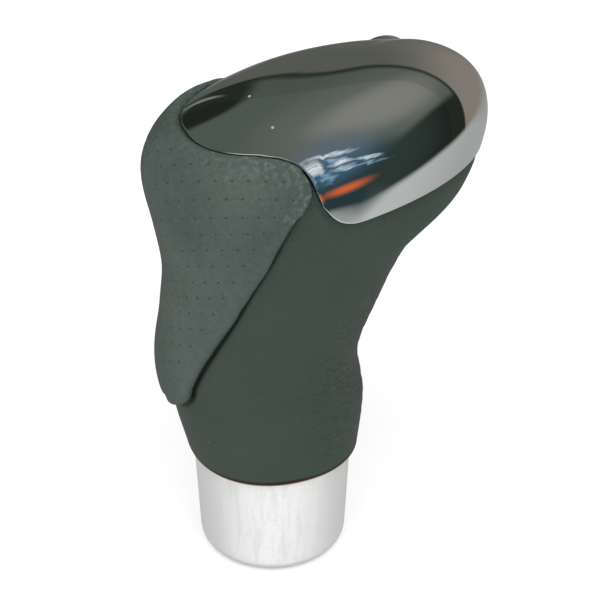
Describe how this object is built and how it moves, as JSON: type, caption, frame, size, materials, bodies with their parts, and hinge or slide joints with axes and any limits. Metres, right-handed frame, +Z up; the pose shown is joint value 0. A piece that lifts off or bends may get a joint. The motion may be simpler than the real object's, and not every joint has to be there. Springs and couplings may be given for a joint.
{
  "type": "gear shift knob",
  "caption": "Automatic gear shift knob with leather grip, perforated padded panel, bright cap, turned collar and side release button.",
  "frame": {"origin": "centre of the collar's foot", "axes": "+Z up along the lever's axis, +X towards the nose of the grip, +Y towards the release button"},
  "size_m": [0.0695, 0.0432, 0.1094],
  "materials": {
    "collar": "brushed satin",
    "black_plastic": "matte",
    "rubber": "matte",
    "hub": "turned",
    "white_plastic": "smooth",
    "steel": "satin",
    "core": "moulded",
    "leather": "fine grained",
    "foam": "soft foam",
    "panel_leather": "perforated",
    "chrome": "polished",
    "brass": "turned"
  },
  "bodies": {
    "knob": {"collar": "collar", "hem_ring": "black_plastic", "collar_o_ring": "rubber", "hub_insert": "hub", "adapter_sleeve": "white_plastic", "grub_screws": "steel", "grip_core": "core", "leather_sleeve": "leather", "panel_foam": "foam", "perforated_panel": "panel_leather", "head_insert": "core", "head_screws": "steel", "chrome_cap": "chrome", "cap_push_nuts": "steel", "button_guide": "black_plastic", "button_spring": "steel", "plunger_bush": "brass", "spring_washer": "steel", "plunger_spring": "steel"},
    "button": {"release_button": "chrome", "cam_slide": "white_plastic", "button_dowel": "steel"},
    "plunger": {"plunger": "white_plastic", "retaining_clip": "steel"}
  },
  "joints": [
    {"name": "button_press", "type": "slide", "parent": "knob", "child": "button", "axis": [0, -1, 0], "range_m": [0, 0.004], "stiffness_N_per_m": 900, "springref_m": -0.002, "deforming": ["button_spring"]},
    {"name": "plunger_push", "type": "slide", "parent": "knob", "child": "plunger", "axis": [0, 0, -1], "range_m": [0, 0.004], "stiffness_N_per_m": 500, "springref_m": -0.003, "deforming": ["plunger_spring"]}
  ],
  "couplings": [
    {"joint": "plunger_push", "follows": "button_press", "ratio": 1}
  ]
}
